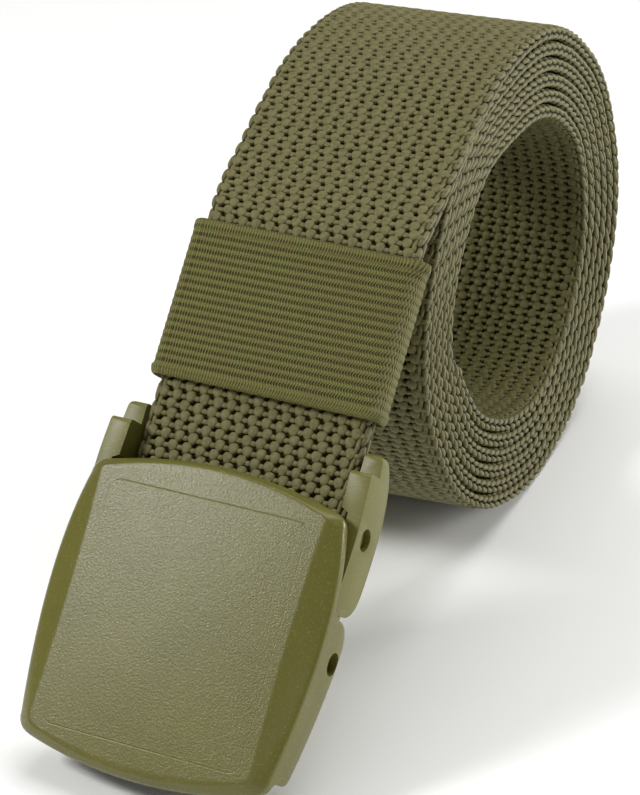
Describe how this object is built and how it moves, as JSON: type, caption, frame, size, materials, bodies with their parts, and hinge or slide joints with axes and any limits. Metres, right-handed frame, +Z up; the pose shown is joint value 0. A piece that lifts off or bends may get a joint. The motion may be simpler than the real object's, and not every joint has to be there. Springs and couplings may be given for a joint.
{
  "type": "rolled webbing belt with cam buckle",
  "caption": "Webbing belt rolled into a standing coil, with a hinged plastic cam buckle and an elastic keeper at its outer end.",
  "frame": {"origin": "middle of the ground that the rolled belt covers, at the height of the surface that it stands on", "axes": "+X along the coil's axis and across the webbing, +Y from the buckle towards the coil, +Z up"},
  "size_m": [0.0496, 0.179, 0.0898],
  "materials": {
    "webbing": "coarse basket weave",
    "elastic": "ribbed elastic",
    "frame_plastic": "fine grained",
    "cover_plastic": "fine grained"
  },
  "bodies": {
    "belt": {"strap": "webbing", "keeper": "elastic", "buckle_frame": "frame_plastic"},
    "cover": {"buckle_cover": "cover_plastic"}
  },
  "joints": [
    {"name": "cover_hinge", "type": "hinge", "parent": "belt", "child": "cover", "pos_m": [0.00088, -0.0558, 0.03633], "axis": [-0.9947, 0.1028, 0], "range_deg": [0, 30]}
  ]
}
